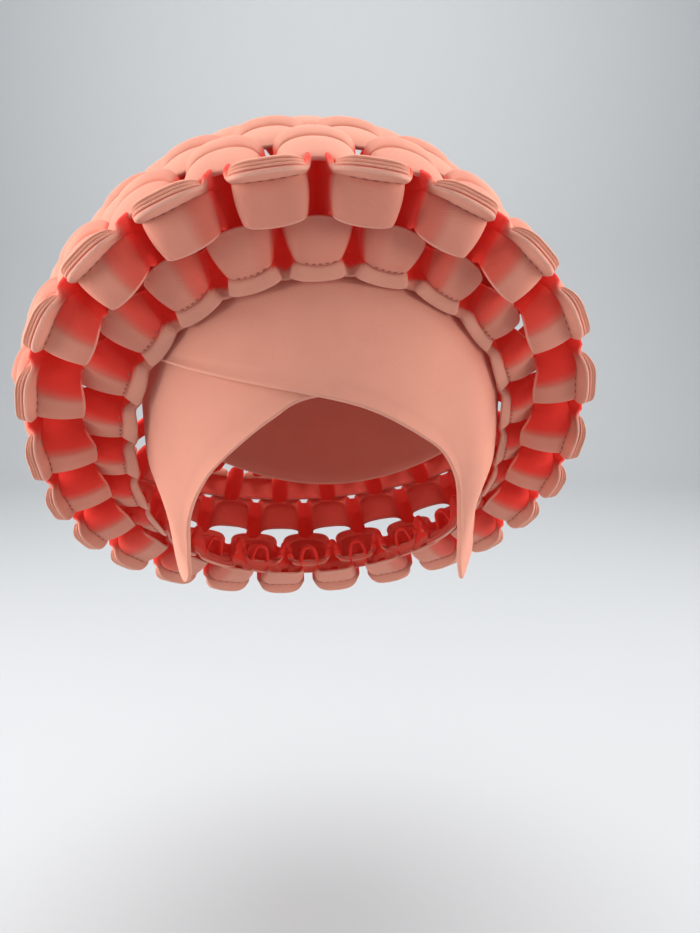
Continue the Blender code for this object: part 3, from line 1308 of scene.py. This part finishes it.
def knit_group() -> bpy.types.NodeTree:
    """Build the crepe knit: fine slanting wales crossed by courses, with uneven yarn.

    Returns:
        The group, which puts out the knit's height and its change of tone.
    """
    inputs = {
        "Cloth": ("NodeSocketVector", 0.0),
        "Pitch": ("NodeSocketFloat", 0.9),
        "Slant": ("NodeSocketFloat", 0.6),
    }
    outputs = {"Height": "NodeSocketFloat", "Tone": "NodeSocketFloat"}
    group = new_group("crepe_knit", inputs, outputs)
    start, end = group.nodes["in"], group.nodes["out"]
    parts = group.nodes.new("ShaderNodeSeparateXYZ")
    group.links.new(start.outputs["Cloth"], parts.inputs[0])
    x = math_node(group, "MULTIPLY", parts.outputs[0], 1 / MM)
    y = math_node(group, "MULTIPLY", parts.outputs[1], 1 / MM)
    slanted = math_node(group, "MULTIPLY_ADD", x, start.outputs["Slant"], y)
    wale = math_node(group, "DIVIDE", slanted, start.outputs["Pitch"])
    wale = math_node(group, "SINE", math_node(group, "MULTIPLY", wale, 2 * pi))
    course_pitch = math_node(group, "MULTIPLY", start.outputs["Pitch"], COURSE_PITCH_SHARE)
    course = math_node(group, "DIVIDE", x, course_pitch)
    course = math_node(group, "SINE", math_node(group, "MULTIPLY", course, 2 * pi))
    woven = math_node(group, "MULTIPLY_ADD", course, COURSE_HEIGHT, wale)
    noise = group.nodes.new("ShaderNodeTexNoise")
    noise.inputs["Scale"].default_value = YARN_FUZZ_SCALE
    noise.inputs["Detail"].default_value = 2.0
    group.links.new(start.outputs["Cloth"], noise.inputs["Vector"])
    fuzz = math_node(group, "MULTIPLY_ADD", noise.outputs[0], YARN_FUZZ, -YARN_FUZZ / 2)
    group.links.new(math_node(group, "ADD", woven, fuzz), end.inputs["Height"])
    group.links.new(math_node(group, "MULTIPLY_ADD", woven, 0.5, fuzz), end.inputs["Tone"])
    return group


@dataclass(frozen=True)
class KnitFinish:
    """The coral crepe knit, painted deep red where it faces itself inside the folds, as painted shade.

    Along the stored painted fold shade the open colour first turns to the shade colour and then, from
    the fold shade's start, to the deep red painted shade of the folds, each at its own gain. The
    deepest folds also take a faint red emission, painted light standing for light through the knit.
    Folded edges take a lighter painted highlight, and the tops of the raw layers take one of their own.
    fold's start, to the fold colour, each at its own gain.
    """

    open_colour: tuple[float, float, float, float] = (0.86, 0.368, 0.266, 1.0)
    shade_colour: tuple[float, float, float, float] = (0.74, 0.21, 0.145, 1.0)
    # Painted shade: the deep red of the folds.
    fold_shade_colour: tuple[float, float, float, float] = (0.86, 0.035, 0.022, 1.0)
    # Painted highlight on rounded folded edges.
    edge_highlight_colour: tuple[float, float, float, float] = (0.90, 0.48, 0.37, 1.0)
    # Painted highlight on the tops of the raw layers.
    rib_highlight_colour: tuple[float, float, float, float] = (0.92, 0.42, 0.30, 1.0)
    shade_gain: float = 2.2
    fold_shade_gain: float = 1.9
    fold_shade_start: float = -0.6
    edge_highlight_share: float = 0.6
    rib_highlight_share: float = 0.8
    pitch: float = 0.6
    slant: float = 0.55
    relief: float = 0.00006
    weave_tone: float = 0.05
    patch_scale: float = 38.0
    patch_tone: float = 0.16
    # Strength of the painted red emission in the deepest folds.
    painted_fold_glow: float = 0.085
    roughness: float = 0.82
    sheen: float = 0.28
    sheen_roughness: float = 0.45
    sheen_tint: tuple[float, float, float, float] = (1.0, 0.72, 0.60, 1.0)
    specular: float = 0.25

    def attribute(self, tree: bpy.types.NodeTree, name: str) -> bpy.types.NodeSocket:
        """Read one of the cloth's stored values."""
        node = tree.nodes.new("ShaderNodeAttribute")
        node.attribute_name = name
        return node.outputs["Fac"]

    def build(self, group: bpy.types.NodeTree) -> bpy.types.Material:
        """Make the material.

        Args:
            group: the knit's node group.

        Returns:
            The material.
        """
        material = bpy.data.materials.new("coral_crepe_knit")
        material.use_nodes = True
        tree = material.node_tree
        shader = tree.nodes["Principled BSDF"]
        cloth = tree.nodes.new("ShaderNodeUVMap")
        cloth.uv_map = "cloth"
        knit = tree.nodes.new("ShaderNodeGroup")
        knit.node_tree = group
        tree.links.new(cloth.outputs[0], knit.inputs["Cloth"])
        knit.inputs["Pitch"].default_value = self.pitch
        knit.inputs["Slant"].default_value = self.slant
        # Painted shade: the stored fold shade turns the open colour to the shade colour and then to the
        # deep red of the folds.
        depth = self.attribute(tree, "painted_fold_shade")
        shallow = math_node(tree, "MULTIPLY", depth, self.shade_gain)
        shallow.node.use_clamp = True
        deep = math_node(tree, "MULTIPLY_ADD", depth, self.fold_shade_gain, self.fold_shade_start)
        deep.node.use_clamp = True
        colour = mix_colours(tree, shallow, self.open_colour, self.shade_colour)
        colour = mix_colours(tree, deep, colour, self.fold_shade_colour)
        # Painted highlight: a lighter colour on rounded folded edges.
        rim = math_node(tree, "MULTIPLY", self.attribute(tree, "painted_edge_highlight"), self.edge_highlight_share)
        colour = mix_colours(tree, rim, colour, self.edge_highlight_colour)
        # Painted highlight: a lighter, more orange colour on the tops of the raw layers.
        raw = math_node(tree, "MULTIPLY", self.attribute(tree, "painted_rib_highlight"), self.rib_highlight_share)
        colour = mix_colours(tree, raw, colour, self.rib_highlight_colour)
        patch = tree.nodes.new("ShaderNodeTexNoise")
        patch.inputs["Scale"].default_value = self.patch_scale
        patch.inputs["Detail"].default_value = 3.0
        place = tree.nodes.new("ShaderNodeTexCoord")
        tree.links.new(place.outputs["Object"], patch.inputs["Vector"])
        lowest = -self.patch_tone / 2
        uneven = math_node(tree, "MULTIPLY_ADD", patch.outputs[0], self.patch_tone, lowest)
        tone = math_node(tree, "MULTIPLY_ADD", knit.outputs["Tone"], self.weave_tone, uneven)
        value = math_node(tree, "ADD", tone, 1.0)
        shaded = tree.nodes.new("ShaderNodeHueSaturation")
        tree.links.new(value, shaded.inputs["Value"])
        tree.links.new(colour, shaded.inputs["Color"])
        tree.links.new(shaded.outputs[0], shader.inputs["Base Color"])
        knit_tone = knit.outputs["Tone"]
        rough = math_node(tree, "MULTIPLY_ADD", knit_tone, self.weave_tone, self.roughness)
        tree.links.new(rough, shader.inputs["Roughness"])
        bump = tree.nodes.new("ShaderNodeBump")
        bump.inputs["Strength"].default_value = 1.0
        bump.inputs["Distance"].default_value = self.relief
        tree.links.new(knit.outputs["Height"], bump.inputs["Height"])
        tree.links.new(bump.outputs[0], shader.inputs["Normal"])
        # Painted light: a faint red emission in the deepest folds stands in for light coming through
        # the knit.
        fold_glow = math_node(tree, "MULTIPLY", deep, self.painted_fold_glow)
        tree.links.new(fold_glow, shader.inputs["Emission Strength"])
        shader.inputs["Emission Color"].default_value = self.fold_shade_colour
        shader.inputs["Sheen Weight"].default_value = self.sheen
        shader.inputs["Sheen Roughness"].default_value = self.sheen_roughness
        shader.inputs["Sheen Tint"].default_value = self.sheen_tint
        shader.inputs["Specular IOR Level"].default_value = self.specular
        return material


@dataclass(frozen=True)
class ThreadFinish:
    """The dark red-brown sewing thread, with the twist of its plies."""

    colour: tuple[float, float, float, float] = (0.44, 0.10, 0.07, 1.0)
    # Lighter diagonal stripes along the twist of the plies.
    twist_stripe_colour: tuple[float, float, float, float] = (0.58, 0.20, 0.14, 1.0)
    twist: float = 2600.0
    relief: float = 0.00005
    roughness: float = 0.6

    def build(self) -> bpy.types.Material:
        """Make the material.

        Returns:
            The material.
        """
        material = bpy.data.materials.new("sewing_thread")
        material.use_nodes = True
        tree = material.node_tree
        shader = tree.nodes["Principled BSDF"]
        place = tree.nodes.new("ShaderNodeTexCoord")
        plies = tree.nodes.new("ShaderNodeTexWave")
        plies.bands_direction = "DIAGONAL"
        plies.inputs["Scale"].default_value = self.twist
        tree.links.new(place.outputs["Object"], plies.inputs["Vector"])
        colour = mix_colours(tree, plies.outputs["Fac"], self.colour, self.twist_stripe_colour)
        tree.links.new(colour, shader.inputs["Base Color"])
        shader.inputs["Roughness"].default_value = self.roughness
        bump = tree.nodes.new("ShaderNodeBump")
        bump.inputs["Distance"].default_value = self.relief
        tree.links.new(plies.outputs["Fac"], bump.inputs["Height"])
        tree.links.new(bump.outputs[0], shader.inputs["Normal"])
        return material


@dataclass(frozen=True)
class SoftLight:
    """One round soft light: where it hangs, what it faces, its width in metres and its watts."""

    name: str
    place: tuple[float, float, float]
    aim: tuple[float, float, float]
    width: float
    power: float
    colour: tuple[float, float, float]

    def hang(self) -> None:
        """Add the light to the scene."""
        data = bpy.data.lights.new(self.name, "AREA")
        data.shape = "DISK"
        data.size = self.width
        data.energy = self.power
        data.color = self.colour
        lamp = bpy.data.objects.new(self.name, data)
        bpy.context.scene.collection.objects.link(lamp)
        lamp.location = self.place
        direction = Vector(self.aim) - Vector(self.place)
        lamp.rotation_euler = direction.to_track_quat("-Z", "Y").to_euler()


HAT_MIDDLE = (0.0, 0.0, -0.08)
WALL_MIDDLE = (0.0, 1.6, 0.0)
WARM = (1.0, 0.97, 0.94)
SOFT_LIGHTS = (
    SoftLight("left_softbox", (-1.05, -0.25, 0.15), HAT_MIDDLE, 0.8, 16.0, WARM),
    SoftLight("right_softbox", (1.05, -0.20, 0.20), HAT_MIDDLE, 0.8, 12.5, WARM),
    SoftLight("top_softbox", (0.0, 0.15, 1.1), HAT_MIDDLE, 1.5, 9.5, (1.0, 0.98, 0.96)),
    SoftLight("wall_light", (0.0, 0.35, 1.3), WALL_MIDDLE, 1.2, 17.0, (0.97, 0.99, 1.0)),
)


@dataclass
class Studio:
    """A plain pale floor and wall, soft lights and the camera at the photo's angle."""

    floor_height: float = -0.42
    floor_front: float = -3.0
    half_width: float = 4.0
    wall_distance: float = WALL_MIDDLE[1]
    wall_height: float = 4.0
    bend_radius: float = 0.5
    bend_steps: int = 10
    floor_roughness: float = 0.9
    air_colour: tuple[float, float, float, float] = (0.80, 0.87, 0.95, 1.0)
    air_strength: float = 0.24
    pale: tuple[float, float, float, float] = (0.50, 0.515, 0.53, 1.0)
    camera_place: tuple[float, float, float] = (0.016, -0.380, -0.026)
    camera_turn: tuple[float, float, float] = (radians(76.5), 0.0, 0.0)
    focal_pixels: float = 750.0
    frame_height: float = 933.0
    sensor: float = 36.0

    def backdrop(self) -> None:
        """Sweep the floor up into a wall behind the hat."""
        clear_selection()
        bpy.ops.mesh.primitive_plane_add(size=1.0, location=(0, 0, 0))
        sweep = bpy.context.object
        sweep.name = "studio_floor"
        shape = bmesh.new()
        bend = self.wall_distance - self.bend_radius
        profile = [(self.floor_front, 0.0), (bend, 0.0)]
        for step in range(1, self.bend_steps + 1):
            turn = step / self.bend_steps * pi / 2
            rise = self.bend_radius * (1 - cos(turn))
            profile.append((bend + self.bend_radius * sin(turn), rise))
        profile.append((self.wall_distance, self.wall_height))
        left, right = (
            [shape.verts.new((x, y, self.floor_height + z)) for y, z in profile]
            for x in (-self.half_width, self.half_width)
        )
        for i in range(len(profile) - 1):
            shape.faces.new((left[i], right[i], right[i + 1], left[i + 1]))
        shape.to_mesh(sweep.data)
        shape.free()
        for face in sweep.data.polygons:
            face.use_smooth = True
        material = bpy.data.materials.new("pale_floor")
        material.use_nodes = True
        shader = material.node_tree.nodes["Principled BSDF"]
        shader.inputs["Base Color"].default_value = self.pale
        shader.inputs["Roughness"].default_value = self.floor_roughness
        sweep.data.materials.append(material)

    def build(self) -> None:
        """Set up the floor, the lights, the sky and the camera."""
        self.backdrop()
        for light in SOFT_LIGHTS:
            light.hang()
        world = bpy.data.worlds.new("studio_air")
        bpy.context.scene.world = world
        world.use_nodes = True
        air = world.node_tree.nodes["Background"]
        air.inputs["Color"].default_value = self.air_colour
        air.inputs["Strength"].default_value = self.air_strength
        bpy.context.scene.view_settings.view_transform = "Standard"
        data = bpy.data.cameras.new("photo_camera")
        data.sensor_fit = "AUTO"
        data.sensor_width = self.sensor
        data.lens = self.focal_pixels / self.frame_height * self.sensor
        camera = bpy.data.objects.new("photo_camera", data)
        bpy.context.scene.collection.objects.link(camera)
        camera.location = self.camera_place
        camera.rotation_euler = self.camera_turn
        bpy.context.scene.camera = camera


def main() -> None:
    """Build the hat, dress it and light it."""
    logging.basicConfig(level=logging.INFO, format="%(message)s")
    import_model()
    head = HeadForm()
    knit = KnitFinish().build(knit_group())
    thread = ThreadFinish().build()
    CrownCap(head).build(knit)
    for panel in front_panels(head):
        panel.build(knit)
    Halo(head).build(knit, thread)
    Studio().build()


if __name__ == "__main__":
    main()
